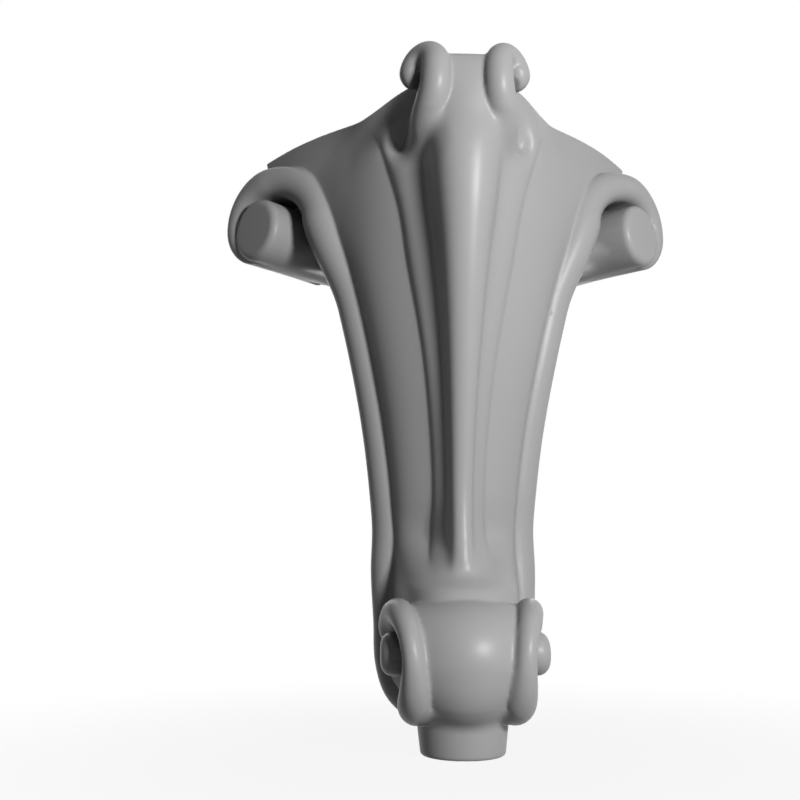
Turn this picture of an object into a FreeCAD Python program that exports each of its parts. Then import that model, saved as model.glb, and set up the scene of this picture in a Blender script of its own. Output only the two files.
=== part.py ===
import FreeCAD, Part
import math
import os
from types import SimpleNamespace

# Carved corner leg in one piece: symmetric about the plane X = 0, front towards -Y, pad on the floor.
# Wing coordinates of the right side: along = outwards and back at 45 degrees, proud = out of the wing
# face towards the front right.

# Driving dimensions in millimetres and degrees
SIZES = [
    ("top_height", 284.0, "flat top face above the floor"),
    ("wing_tip", 101.0, "outer end of the wing, along the wing"),
    ("wing_depth", 42.0, "thickness of the wing"),
    ("wing_plane", 31.0, "wing face from the axis"),
    ("back_plane", 50.0, "flat back of the post from the axis"),
    ("side_plane", 47.0, "side of the post, along the wing"),
    ("rib_rise", 1.0, "height of the middle rib for its half width"),
    ("groove_wall", 77.0, "steepest lean of the groove walls"),
    ("flank_start", 30.0, "lean of the flank at its groove"),
    ("edge_radius", 9.0, "rounded edge of the leg"),
    ("eye_along", 90.0, "volute eye, along the wing"),
    ("eye_drop", 43.0, "volute eye below the top face"),
    ("eye_radius", 14.0, "volute eye boss"),
    ("eye_proud", 47.0, "end of the eye boss from the axis"),
    ("eye_round", 2.5, "eased edge of the eye boss"),
    ("coil_inner", 13.0, "coil radius where it ends under the eye"),
    ("coil_outer", 34.5, "coil radius where it leaves the leg"),
    ("coil_band", 4.5, "bead radius at the outside of the volute"),
    ("pocket_floor", 21.0, "floor of the volute from the axis"),
    ("pad_radius", 17.9, "foot pad at the floor"),
    ("pad_top", 19.6, "foot pad under the scroll"),
    ("pad_height", 16.0, "height of the foot pad"),
    ("roll_radius", 23.3, "foot scroll"),
    ("roll_depth", -10.0, "axis of the foot scroll, front to back"),
    ("roll_height", 39.7, "axis of the foot scroll above the floor"),
    ("roll_half", 25.5, "half width of the foot scroll at its axis"),
    ("roll_splay", 19.0, "splay of the scroll sides"),
    ("ring_front", 26.8, "outside of the foot bead in front"),
    ("ring_high", 36.0, "outside of the foot bead behind its top"),
    ("ring_low", 24.5, "outside of the foot bead behind its underside"),
    ("ring_top", 4.4, "bead radius over the foot scroll"),
    ("ring_bottom", 7.8, "bead radius under the foot scroll"),
    ("foot_eye_radius", 9.0, "eye boss of the foot scroll"),
    ("foot_eye_out", 10.0, "eye boss beyond the scroll side"),
    ("foot_eye_round", 2.0, "eased edge of the foot eye boss"),
    ("curl_radius", 5.6, "tube of the top curls"),
    ("curl_turn", 7.0, "turning radius of the top curls"),
    ("curl_proud", 45.0, "plane of the top curls from the axis"),
    ("curl_rise", 16.0, "top of the curls above the top face"),
    ("plate_half", 10.0, "half width of the plate between the curls"),
    ("plate_rise", 6.0, "top of the plate above the top face"),
]

# Carving stations from the foot to the top. Columns: lift above the foot scroll, share of the shaft from the
# scroll to the top face, depth of the crest, half width of the rib, half width of the leaf, flank plane, end of
# the flank along the wing, its lean, share of carving.
STATIONS = {
    "base": (-51.0, 0.0, -16.0, 6.0, 12.0, 5.0, 30.0, 70.0, 0.0),
    "cove": (3.0, 0.0, -16.0, 6.0, 12.0, 3.0, 39.0, 78.0, 0.0),
    "instep": (13.0, 0.0, -11.5, 6.0, 12.0, 2.0, 39.5, 79.0, 0.15),
    "drip": (25.0, 0.0, -9.0, 5.8, 12.2, 1.5, 39.3, 79.0, 0.7),
    "ankle": (0.0, 0.205, -9.5, 5.6, 11.6, 4.0, 38.0, 79.0, 1.0),
    "shin": (0.0, 0.325, -15.0, 6.4, 13.0, 8.5, 37.5, 79.0, 1.0),
    "calf": (0.0, 0.485, -25.2, 8.0, 16.5, 16.5, 38.0, 78.0, 1.0),
    "bow": (0.0, 0.675, -39.0, 11.7, 23.9, 26.2, 43.0, 69.0, 1.0),
    "neck": (0.0, 0.855, -48.5, 16.2, 32.0, 33.0, 60.0, 50.0, 0.85),
    "crown": (0.0, 1.0, -44.5, 15.0, 28.0, 31.0, 40.0, 45.0, 0.1),
}

COLUMNS = ("lift", "share", "crest", "rib", "leaf", "flank", "end", "lean", "carve")
CHORDS = (3, 3, 4)
BEAD_SIDES = 10
CURL_SIDES = 8
ROOT = math.sqrt(2.0)
OVERLAP = 2.0
BLANK_ALONG = 104.0
BLANK_BACK = (40.0, 118.0)
FRONT_PROUD = 62.0


def fill_sheet(doc):
    sheet = doc.addObject("Spreadsheet::Sheet", "Sizes")
    rows = [(name, value, note) for name, value, note in SIZES]
    for station, values in STATIONS.items():
        for column, value in zip(COLUMNS, values):
            rows.append((station + "_" + column, value, "carving station"))
    for number, (name, value, note) in enumerate(rows, 1):
        sheet.set("A%d" % number, name)
        sheet.set("B%d" % number, str(value))
        sheet.set("C%d" % number, note)
        sheet.setAlias("B%d" % number, name)
    doc.recompute()
    return sheet


def read_sizes(sheet):
    sizes = SimpleNamespace(**{name: float(sheet.get(name)) for name, value, note in SIZES})
    sizes.eye_height = sizes.top_height - sizes.eye_drop
    sizes.curl_top = sizes.top_height + sizes.curl_rise
    sizes.plate_top = sizes.top_height + sizes.plate_rise
    sizes.wing_back = sizes.wing_plane - sizes.wing_depth
    return sizes


def read_station(sheet, station):
    st = SimpleNamespace(**{name: float(sheet.get(station + "_" + name)) for name in COLUMNS})
    scroll = float(sheet.get("roll_height")) + float(sheet.get("roll_radius"))
    st.height = scroll + st.lift + st.share * (float(sheet.get("top_height")) - scroll)
    return st


# Shapes worked out from the sizes

def wing(along, proud, height):
    return FreeCAD.Vector((along + proud) / ROOT, (along - proud) / ROOT, height)


def heading(lean):
    angle = math.radians(lean)
    return FreeCAD.Vector(math.cos(angle), math.sin(angle), 0)


def flipped(point):
    return FreeCAD.Vector(-point.x, point.y, point.z)


def spline(points):
    curve = Part.BSplineCurve()
    curve.interpolate(points)
    return curve.toShape()


def lines(points):
    return [Part.makeLine(points[i], points[i + 1]) for i in range(len(points) - 1)]


def solid_of(shape):
    return shape if shape.ShapeType == "Solid" else shape.Solids[0]


def cubic(start, lean_start, end, lean_end, pull):
    reach = (end - start).Length * pull
    return [start, start + heading(lean_start) * reach, end - heading(lean_end) * reach, end]


def split(poles, share):
    # the two cubics before and after a share of the curve
    a = [poles[i] + (poles[i + 1] - poles[i]) * share for i in range(3)]
    b = [a[i] + (a[i + 1] - a[i]) * share for i in range(2)]
    c = b[0] + (b[1] - b[0]) * share
    return [poles[0], a[0], b[0], c], [c, b[1], a[2], poles[3]]


def on_cubic(poles, t):
    u = 1.0 - t
    return poles[0] * u**3 + poles[1] * (3 * u * u * t) + poles[2] * (3 * u * t * t) + poles[3] * t**3


def carved_half(sizes, st):
    # rib, groove wall and flank as three cubics, blended towards one plain curve where the carving ends
    crest = FreeCAD.Vector(0, st.crest, st.height)
    valley = FreeCAD.Vector(st.rib, st.crest + sizes.rib_rise * st.rib, st.height)
    groove = FreeCAD.Vector(st.leaf, st.leaf - ROOT * st.flank, st.height)
    crease = wing(st.end, st.flank, st.height)
    wall = sizes.groove_wall
    deep = [
        cubic(crest, 0.0, valley, wall, 0.45),
        cubic(valley, wall, groove, wall, 0.38),
        cubic(groove, sizes.flank_start, crease, st.lean, 0.38),
    ]
    first, rest = split(cubic(crest, 0.0, crease, st.lean, 0.42), 1.0 / 3.0)
    plain = [first, *split(rest, 0.5)]
    return [[p + (d - p) * st.carve for p, d in zip(ps, ds)] for ps, ds in zip(plain, deep)]


def blank_section(sizes, st):
    right = []
    for poles, chords in zip(carved_half(sizes, st), CHORDS):
        right += [on_cubic(poles, (i + 1) / int(chords)) for i in range(int(chords))]
    crease = right[-1]
    course = heading(st.lean)
    gain = (course.x + course.y) / ROOT
    right.append(crease + course * ((BLANK_ALONG - (crease.x + crease.y) / ROOT) / gain))
    right.append(FreeCAD.Vector(BLANK_BACK[0], BLANK_BACK[1], st.height))
    crest = FreeCAD.Vector(0, st.crest, st.height)
    return Part.makePolygon([crest] + right + [flipped(p) for p in reversed(right)] + [crest])


def blank(sizes, sheet):
    wires = [blank_section(sizes, read_station(sheet, station)) for station in STATIONS]
    return Part.makeLoft(wires, True, False, False, 3)


def sawn(edges, low):
    # region outlined on the wing side at the proud distance low, cut through to the front
    return Part.Face(Part.Wire(edges)).extrude(wing(0, FRONT_PROUD - low, 0))


def post(sizes):
    low = -sizes.wing_tip - 23.0
    base = sizes.pad_height - OVERLAP
    side = sizes.side_plane
    top = sizes.top_height + OVERLAP
    outline = [(side - 37.0, base), (side - 20.0, base + 6.0), (side - 8.0, base + 18.0), (side - 1.5, base + 36.0)]
    outline += [(side, base + 56.0), (side, top), (low, top), (low, base), (side - 37.0, base)]
    return sawn(lines([wing(along, low, height) for along, height in outline]), low)


def ear(sizes):
    low = sizes.wing_back
    top = sizes.top_height + OVERLAP
    eye = sizes.eye_height
    tip = sizes.wing_tip
    root = sizes.side_plane - 17.0
    outline = [(root, top), (tip, top), (tip - 1.5, sizes.top_height - 8.0), (tip - 6.0, eye + 18.0)]
    outline += [(sizes.eye_along - 30.0, eye - 10.0), (root, eye - 35.0), (root, top)]
    return sawn(lines([wing(along, low, height) for along, height in outline]), low)


def coil_radius(sizes, turn):
    # radius of the coil about the eye, from its end under the eye (-70) to the leg (180)
    return sizes.coil_inner + (sizes.coil_outer - sizes.coil_inner) * (turn + 70.0) / 250.0


def bead_radius(sizes, turn):
    share = max(0.0, min(1.0, turn / 180.0))
    return sizes.coil_band + (sizes.edge_radius - 1.2 - sizes.coil_band) * share**1.5


def coil_proud(sizes, turn):
    along = sizes.eye_along + coil_radius(sizes, turn) * math.cos(math.radians(turn))
    lift = min(along, sizes.eye_along) - 55.0
    return sizes.wing_plane - 3.0 + 0.35 * lift + 0.1 * max(0.0, along - sizes.eye_along)


def coil_point(sizes, turn, radius, proud):
    angle = math.radians(turn)
    along = sizes.eye_along + radius * math.cos(angle)
    return wing(along, proud, sizes.eye_height + radius * math.sin(angle))


def volute(sizes):
    # the coil's outline and the underside that runs from it into the post, behind a slanting front
    low = sizes.wing_back
    rim = []
    for turn in range(150, -91, -30):
        radius = coil_radius(sizes, turn) + 0.7 * bead_radius(sizes, turn)
        if turn < -40:
            radius = sizes.eye_radius + 2.5
        rim.append(coil_point(sizes, turn, radius, low))
    eye = sizes.eye_height
    at = lambda along, height: wing(along, low, height)
    side = sizes.side_plane
    under = [rim[-1], at(sizes.eye_along - 18.0, eye - 22.0), at(sizes.eye_along - 34.0, eye - 34.0)]
    under.append(at(side - 2.0, eye - 51.0))
    close = [under[-1], at(side - 7.0, eye - 51.0), at(side - 7.0, eye + 21.0), rim[0]]
    body = sawn([spline(rim), spline(under)] + lines(close), low)
    far = sizes.eye_along + sizes.coil_outer
    plan = [(0.0, -far), (0.0, 10.0), (side + 5.0, sizes.wing_plane - 4.0), (sizes.eye_along, coil_proud(sizes, 90))]
    plan += [(far, coil_proud(sizes, 0) + 1.0), (far, -far), (0.0, -far)]
    front = Part.Face(Part.makePolygon([wing(along, proud, 0.0) for along, proud in plan]))
    return solid_of(body.common(front.extrude(FreeCAD.Vector(0, 0, sizes.curl_top))))


def pocket(sizes):
    floor = sizes.pocket_floor
    inside = []
    for turn in range(-30, 181, 30):
        radius = coil_radius(sizes, turn) - 0.7 * bead_radius(sizes, turn)
        inside.append(coil_point(sizes, turn, radius, floor))
    eye = sizes.eye_height
    at = lambda along, height: wing(along, floor, height)
    close = [inside[-1], at(sizes.eye_along - 36.0, eye - 21.0), at(sizes.eye_along - 18.0, eye - 16.5)]
    close += [at(sizes.eye_along, eye - 3.0), inside[0]]
    return sawn([spline(inside)] + lines(close), floor)


def tube(points, radii, sides, ruled=False):
    # loft through regular polygons square to a curve, with one flat facing out of the wing
    guide = Part.BSplineCurve()
    guide.interpolate(points)
    proud = wing(0, 1, 0)
    half_angle = math.pi / int(sides)
    wires = []
    for point, radius in zip(points, radii):
        course = FreeCAD.Vector(*guide.tangent(guide.parameter(point))[0])
        out = (proud - course * proud.dot(course)).normalize()
        side = course.cross(out)
        corner = radius * 0.5 * (1.0 + 1.0 / math.cos(half_angle))
        angles = [(2 * i + 1) * half_angle for i in range(int(sides) + 1)]
        corners = [point + out * (corner * math.cos(a)) + side * (corner * math.sin(a)) for a in angles]
        wires.append(Part.makePolygon(corners))
    return Part.makeLoft(wires, True, ruled, False, 3)


def edge_bead(sizes, sheet):
    edge = sizes.edge_radius
    side = sizes.side_plane
    low = sizes.pad_height
    points = [wing(side - 25.0, 3.0, low + 4.0), wing(side - 11.0, -1.0, low + 18.0)]
    points.append(wing(side - 5.5, -3.5, low + 36.0))
    radii = [0.67 * edge, 0.83 * edge, 0.94 * edge]
    for station in ("instep", "ankle", "shin", "calf", "bow"):
        st = read_station(sheet, station)
        crease = wing(st.end, st.flank, st.height)
        points.append(crease + FreeCAD.Vector(0.1 * edge, 0.95 * edge, 0))
        radii.append(edge)
    for turn in range(180, -71, -25):
        points.append(coil_point(sizes, turn, coil_radius(sizes, turn), coil_proud(sizes, turn)))
        radii.append(bead_radius(sizes, turn))
    return tube(points, radii, BEAD_SIDES)


def side_of_roll(sizes, depth):
    return sizes.roll_half + math.tan(math.radians(sizes.roll_splay)) * (depth - sizes.roll_depth)


def foot_ring(sizes):
    # bead over the front of the foot scroll, from behind its top to behind its underside
    points = []
    radii = []
    for turn in range(140, -161, -20):
        angle = math.radians(turn)
        share = 0.5 - 0.5 * math.sin(angle) if turn > -90 else 1.0
        radius = sizes.ring_top + (sizes.ring_bottom - sizes.ring_top) * share
        ring = sizes.roll_radius + 1.0 - radius
        depth = sizes.roll_depth - ring * math.cos(angle)
        behind = sizes.ring_high if turn > 0 else sizes.ring_low
        out = sizes.ring_front + (behind - sizes.ring_front) * 0.5 * (1.0 - math.cos(angle)) - radius
        points.append(FreeCAD.Vector(out, depth, sizes.roll_height + ring * math.sin(angle)))
        radii.append(radius)
    return tube(points, radii, BEAD_SIDES)


def curl(sizes):
    # stem out of the rib beside the plate, turned outwards and down
    radius = sizes.curl_radius
    turn = sizes.curl_turn
    top = sizes.curl_top - radius - turn
    start = 0.5 * radius - 28.5
    proud = sizes.curl_proud
    foot = [(-5.0, 18.0, -48.0), (-2.0, 11.5, -36.0), (0.5, 4.0, -22.0), (0.0, 1.0, -9.5)]
    stem = wing(start, proud, top)
    points = [stem + FreeCAD.Vector(x, y, z) for x, y, z in foot]
    radii = [radius, radius + 1.0, radius + 1.0, radius + 0.3]
    for angle in range(180, -46, -25):
        a = math.radians(angle)
        shrink = 1.0 - 0.12 * max(0.0, -angle / 45.0)
        points.append(wing(start + turn + turn * math.cos(a) * shrink, proud, top + turn * math.sin(a)))
        radii.append(radius - 0.6 * (180 - angle) / 225.0)
    return tube(points, radii, CURL_SIDES, True)


def plate(sizes, crown):
    half = sizes.plate_half
    top = sizes.plate_top
    at = lambda depth, drop: FreeCAD.Vector(-half, crown.crest + depth, top - drop)
    front = [at(0.5, 35.0), at(-2.0, 24.0), at(-5.0, 12.0), at(-4.0, 4.0), at(-0.5, 0.0)]
    rest = [front[-1], at(8.5, 0.0), at(8.5, 35.0), front[0]]
    return Part.Face(Part.Wire([spline(front)] + lines(rest))).extrude(FreeCAD.Vector(2 * half, 0, 0))


# Objects of the document

def bind(piece, **formulas):
    for name, formula in formulas.items():
        piece.setExpression(name.replace("__", "."), formula)
    return piece


def shaped(doc, label, shape):
    piece = doc.addObject("Part::Feature", label)
    piece.Shape = shape
    return piece


def mirrored(doc, piece):
    twin = doc.addObject("Part::Mirroring", piece.Name + "_left")
    twin.Source = piece
    twin.Normal = FreeCAD.Vector(1, 0, 0)
    return twin


def joined(doc, kind, label, pieces):
    whole = doc.addObject(kind, label)
    whole.Shapes = pieces
    return whole


def less(doc, label, base, tool):
    rest = doc.addObject("Part::Cut", label)
    rest.Base = base
    rest.Tool = tool
    return rest


def facing(direction):
    return FreeCAD.Rotation(FreeCAD.Vector(0, 0, 1), direction)


def boss(doc, label, radius, length, ease, start, direction):
    # short drum with an eased end; radius, length and ease are formulas on the sheet
    drum = bind(doc.addObject("Part::Cylinder", label), Radius=radius, Height=length)
    drum.Placement = FreeCAD.Placement(start, facing(direction))
    face = bind(doc.addObject("Part::Cone", label + "_face"), Radius1=radius, Height=ease)
    bind(face, Radius2=radius + " - " + ease)
    doc.recompute()
    face.Placement = FreeCAD.Placement(start + direction * drum.Height.Value, facing(direction))
    return [drum, face]


def volute_eye(doc, sizes):
    start = wing(sizes.eye_along, sizes.wing_back + OVERLAP, sizes.eye_height)
    length = "Sizes.eye_proud - Sizes.wing_plane + Sizes.wing_depth - Sizes.eye_round - %g" % OVERLAP
    return boss(doc, "volute_eye", "Sizes.eye_radius", length, "Sizes.eye_round", start, wing(0, 1, 0))


def foot_eye(doc, sizes):
    angle = math.radians(sizes.roll_splay)
    out = FreeCAD.Vector(math.cos(angle), -math.sin(angle), 0)
    centre = FreeCAD.Vector(sizes.roll_half, sizes.roll_depth, sizes.roll_height)
    length = "Sizes.foot_eye_radius + Sizes.foot_eye_out - Sizes.foot_eye_round"
    start = centre - out * sizes.foot_eye_radius
    return boss(doc, "foot_eye", "Sizes.foot_eye_radius", length, "Sizes.foot_eye_round", start, out)


def foot_roll(doc, sizes):
    # drum across the foot, its two sides splayed towards the back
    drum = bind(doc.addObject("Part::Cylinder", "roll_drum"), Radius="Sizes.roll_radius", Height="4 * Sizes.roll_half")
    start = FreeCAD.Vector(-2.0 * sizes.roll_half, sizes.roll_depth, sizes.roll_height)
    drum.Placement = FreeCAD.Placement(start, facing(FreeCAD.Vector(1, 0, 0)))
    ahead = sizes.roll_depth - sizes.roll_radius - OVERLAP
    behind = sizes.roll_depth + sizes.roll_radius + OVERLAP
    narrow = side_of_roll(sizes, ahead)
    wide = side_of_roll(sizes, behind)
    plan = [(-narrow, ahead), (narrow, ahead), (wide, behind), (-wide, behind), (-narrow, ahead)]
    face = Part.Face(Part.makePolygon([FreeCAD.Vector(x, y, 0) for x, y in plan]))
    wedge = shaped(doc, "roll_wedge", face.extrude(FreeCAD.Vector(0, 0, 2.0 * sizes.roll_height)))
    return joined(doc, "Part::MultiCommon", "foot_roll", [drum, wedge])


def foot_pad(doc):
    pad = doc.addObject("Part::Cone", "foot_pad")
    return bind(pad, Radius1="Sizes.pad_radius", Radius2="Sizes.pad_top", Height="Sizes.pad_height")


def back_trim(doc, sizes):
    trim = bind(doc.addObject("Part::Box", "back_trim"), Length="Sizes.side_plane", Width="Sizes.side_plane")
    bind(trim, Height="Sizes.top_height + %g" % OVERLAP)
    trim.Placement.Base = FreeCAD.Vector(-0.5 * sizes.side_plane, sizes.back_plane, 0)
    return trim


def check(doc):
    for piece in doc.Objects:
        if "Invalid" in piece.State or "Error" in piece.State:
            raise RuntimeError(piece.Label + " did not compute")


def main():
    doc = FreeCAD.newDocument("CarvedLeg")
    sheet = fill_sheet(doc)
    sizes = read_sizes(sheet)

    # blank with the carved front, sawn to the outline of the post and the wings
    saw = shaped(doc, "saw_line", post(sizes).fuse(ear(sizes)))
    pieces = [shaped(doc, "blank", blank(sizes, sheet)), saw, mirrored(doc, saw)]
    body = joined(doc, "Part::MultiCommon", "sawn_blank", pieces)

    # volutes on the wings, hollowed, and the flat back of the post
    scroll = shaped(doc, "volute", volute(sizes))
    body = joined(doc, "Part::MultiFuse", "with_volutes", [body, scroll, mirrored(doc, scroll)])
    hollow = shaped(doc, "pocket", pocket(sizes))
    waste = joined(doc, "Part::MultiFuse", "waste", [hollow, mirrored(doc, hollow), back_trim(doc, sizes)])
    body = less(doc, "hollowed", body, waste)

    # beads, eyes and curls of the right side and their mirror images
    right = [shaped(doc, "edge_bead", edge_bead(sizes, sheet)), shaped(doc, "foot_ring", foot_ring(sizes))]
    right.append(shaped(doc, "curl", curl(sizes)))
    right += volute_eye(doc, sizes) + foot_eye(doc, sizes)
    left = [mirrored(doc, piece) for piece in right]
    middle = [foot_roll(doc, sizes), foot_pad(doc), shaped(doc, "plate", plate(sizes, read_station(sheet, "crown")))]
    leg = joined(doc, "Part::MultiFuse", "carved_leg", [body] + right + left + middle)
    doc.recompute()
    check(doc)
    if leg.Shape.isNull() or not leg.Shape.isValid() or len(leg.Shape.Solids) != 1:
        raise RuntimeError("carved_leg is not one valid solid")
    os.makedirs("parts", exist_ok=True)
    leg.Shape.exportStep("parts/%s.step" % leg.Label)


main()
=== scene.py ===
import math

import bmesh
import bpy
import numpy as np
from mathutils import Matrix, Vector


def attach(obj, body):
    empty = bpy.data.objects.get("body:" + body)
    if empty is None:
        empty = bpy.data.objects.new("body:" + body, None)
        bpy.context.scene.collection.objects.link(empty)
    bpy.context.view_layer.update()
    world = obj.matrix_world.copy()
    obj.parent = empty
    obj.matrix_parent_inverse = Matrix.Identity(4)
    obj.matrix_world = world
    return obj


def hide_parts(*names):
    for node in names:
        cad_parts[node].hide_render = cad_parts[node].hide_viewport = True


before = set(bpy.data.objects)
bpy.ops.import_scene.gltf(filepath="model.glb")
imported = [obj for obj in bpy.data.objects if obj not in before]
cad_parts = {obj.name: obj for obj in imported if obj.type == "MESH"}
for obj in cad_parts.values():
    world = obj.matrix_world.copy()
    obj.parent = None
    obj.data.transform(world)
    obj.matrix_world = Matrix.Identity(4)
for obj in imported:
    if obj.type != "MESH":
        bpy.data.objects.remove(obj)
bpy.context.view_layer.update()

bl_info = {
    "name": "Carved Corner Leg",
    "version": (1, 0, 0),
    "blender": (4, 5, 0),
    "location": "View3D > Sidebar > Carved Leg",
    "description": "Carved furniture leg with ribbed front, wing volutes and scroll foot",
    "category": "Add Mesh",
}

MM = 0.001
ROOT_TWO = math.sqrt(2.0)
MIRROR = np.array([-1.0, 1.0, 1.0])
TINY = 1e-6
UPRIGHT = 0.9

# The tables and values of the carving are in millimetres and degrees. The right wing runs at 45 degrees to
# the middle plane. A place on it is given along the wing, proud of it (towards the front) and above the floor.
# Turns about the volute's eye count from the side of the wing's tip over the top to the leg.

# Carving stations from the foot to the top. Columns: height, depth of the crest, half width of the rib, half
# width of the leaf, flank plane, end of the flank along the wing, its lean, share of carving.
HEIGHT, CREST, RIB, LEAF, FLANK, END, LEAN, CARVING = range(8)
STATIONS = np.array([
    (12.0, -16.0, 6.0, 12.0, 5.0, 30.0, 70.0, 0.0),
    (66.5, -18.5, 5.0, 12.0, 3.0, 38.2, 78.0, 0.0),
    (73.5, -11.8, 5.0, 12.6, 2.2, 38.4, 78.5, 0.1),
    (81.0, -11.0, 5.0, 13.4, 1.8, 38.0, 79.0, 0.6),
    (91.0, -9.4, 5.0, 12.4, 1.7, 37.8, 79.0, 1.0),
    (108.0, -9.5, 5.2, 11.6, 4.0, 37.1, 79.0, 1.0),
    (135.0, -15.0, 6.0, 12.8, 8.5, 37.0, 79.0, 1.0),
    (170.0, -25.2, 8.0, 16.5, 16.5, 37.8, 78.0, 1.0),
    (212.0, -39.0, 11.7, 23.9, 26.2, 43.0, 69.0, 1.0),
    (234.0, -45.5, 14.6, 27.6, 31.3, 50.0, 57.0, 1.0),
    (258.0, -49.0, 16.5, 34.5, 33.3, 64.0, 48.0, 0.8),
    (284.0, -44.5, 15.0, 44.0, 31.0, 40.0, 45.0, 0.1),
])

# Arms of the front's cubics, as shares of their chords, and points along each cubic
RIB_PULL = 0.45
WALL_PULL = 0.38
PLAIN_PULL = 0.42
FRONT_STEPS = 26

# Round gouges beside the stems of the curls: half width, reach below and above their middle
GOUGE_HALF = 5.5
GOUGE_BELOW = 5.0
GOUGE_ABOVE = 11.0

# Side outline of the post. Columns: limit along the wing, height.
HEEL = np.array([(10.0, 12.0), (28.0, 20.0), (40.5, 32.0), (46.0, 50.0), (47.0, 70.0), (47.0, 284.0)])
POST_ROWS = 280
POST_STEPS = 12

# Head: how far it starts under the eye, how its tip is drawn in, its overlap with the front, where its swell
# starts, and how its lowest edge is sunk into the post
HEAD_DROP = 24.0
HEAD_ROWS = 96
HEAD_STEPS = 24
REACH_STOP, REACH_STEP = 89.0, 5.0
TIP_DRAWN, TIP_HEIGHT = 1.5, 10.0
HEAD_OVERLAP = 8.0
SWELL_ALONG, SWELL_HEIGHT = 34.0, 236.0
SUNK_DEPTH, SUNK_HEIGHT = 8.0, 2.5

# Coil about the eye: where it leaves the leg and ends, its place behind the wing's face, its rise up to the
# eye and beyond it, and how its bead thins
COIL_START, COIL_STOP = 180.0, -70.0
COIL_BEHIND = 3.0
COIL_RISE_START = 55.0
COIL_RISE, COIL_RISE_OUTER = 0.35, 0.1
BEAD_SWELL = 1.2
BEAD_THINNING = 1.5
BEAD_TAPER = 0.035
COIL_STEP = 12.5

# Wall of the coil down to the volute's floor, and the turns over which it deepens
COIL_WALL = 6.0
WALL_START, WALL_RUN = 190.0, 30.0

# Foot of the edge bead. Columns: along the wing, proud of it, height, radius. Above it the bead follows the
# flank's edge at the heights, behind it by shares of its radius.
EDGE_FOOT = np.array([
    (13.0, 6.0, 17.0, 4.6),
    (24.0, 4.0, 19.0, 6.2),
    (34.0, 2.0, 25.5, 7.6),
    (39.5, 0.0, 36.0, 8.5),
    (42.5, -2.5, 53.0, 8.9),
])
EDGE_HEIGHTS = np.array([76.0, 95.0, 115.0, 135.0, 152.0, 170.0, 190.0, 205.0])
EDGE_BEHIND = np.array([0.1, 0.95, 0.0])
EDGE_POINTS, EDGE_SIDES = 240, 36

# Underside of the volute from the eye to the leg, and the bolster's home side in the leg. Columns: along the
# wing, height.
UNDERSIDE = np.array([
    (81.0, 224.5), (72.0, 222.0), (63.0, 218.0), (55.0, 212.5), (49.0, 204.5), (45.0, 192.0),
])
HOME_SIDE = np.array([(36.0, 186.0), (36.0, 215.0), (36.0, 240.0), (36.0, 262.0), (48.0, 264.0)])

# Bolster: its turns about the eye, its share of the bead, its skin over the eye under a turn, and the fall of
# its floor towards the leg
BOLSTER_START = 150.0
VOLUTE_STOP = -90.0
VOLUTE_STEP = 10.0
BOLSTER_SHARE = 0.7
SKIN_TURN, SKIN, SKIN_RISE = -40.0, 0.6, 0.05
FLOOR_EDGE, FLOOR_FALL = 70.0, 0.3
BOLSTER_ROWS = 24

# Soft underside: its turns about the eye, its share of the bead, its skin over the eye, where it leaves the
# wing's outline (coil, run to the leg), its end behind the eye's end, and two points inside the eye
UNDER_START = 40.0
UNDER_SHARE = 0.75
UNDER_SKIN, UNDER_TIGHT = 0.8, 0.2
UNDER_AROUND = -200.0
UNDER_LEAVES_COIL, UNDER_LEAVES_RUN = 4.0, -6.0
UNDER_END = 3.0
UNDER_HEART = np.array([(-8.0, 4.0), (0.0, 6.0)])
UNDER_ROWS = 48

# Eyes: rounded edge, start of the volute's eye in front of the wing's back, place of the foot scroll's eye
# before and above the scroll's axis
ROUNDING_STEPS = 9
EYE_START = 3.0
EYE_SIDES, FOOT_EYE_SIDES = 64, 56
FOOT_EYE_BEFORE, FOOT_EYE_ABOVE = 3.0, 2.0

# Foot scroll: fall of the crown from the middle to the beads, where its underside is drawn in and by which
# share for each millimetre, and the sine of the turn at which it grows fuller
CROWN_FALL = 2.4
WAIST_START, WAIST_HEIGHT, WAIST_SHARE = 36.0, 20.0, 0.013
DROP_START = 0.2
ROLL_SIDES, ROLL_ROWS = 120, 41

# Bead of the foot scroll. Columns: turn about the scroll's axis, from the front over the top, outer side of
# the bead from the middle plane, its radius.
FOOT_RING = np.array([
    (-150.0, 23.0, 7.6),
    (-120.0, 25.8, 8.0),
    (-90.0, 27.6, 8.0),
    (-60.0, 28.2, 7.4),
    (-30.0, 27.5, 6.0),
    (0.0, 26.9, 4.6),
    (30.0, 28.4, 4.7),
    (60.0, 31.2, 5.4),
    (90.0, 33.4, 5.9),
    (120.0, 35.0, 6.0),
    (150.0, 34.5, 5.6),
    (165.0, 30.0, 5.2),
    (180.0, 22.0, 4.6),
])
RING_PROUD = 1.1
RING_DROP = (10.0, 80.0)
RING_STEP = 10.0
RING_POINTS, RING_SIDES = 120, 28

# Foot pad: rounding at the floor and flare under the scroll. Columns: height, radius beyond the side.
PAD_ROUNDING = np.array([(0.0, -1.0), (0.4, -0.3), (1.2, 0.0)])
PAD_FLARE = np.array([(-1.0, -0.1), (1.5, 0.4), (3.5, 1.4), (5.5, 3.0), (7.5, 5.4)])
PAD_SIDES = 80

# Curl: start of its loop along the wing, and its stem from there. Columns: to the side, back, up, radius
# added.
CURL_START = -25.1
CURL_STEM = np.array([
    (5.0, 31.0, -29.5, 0.4),
    (4.4, 20.5, -24.5, 1.0),
    (2.4, 9.0, -18.0, 1.0),
    (0.3, 1.5, -9.5, 0.4),
])

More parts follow.
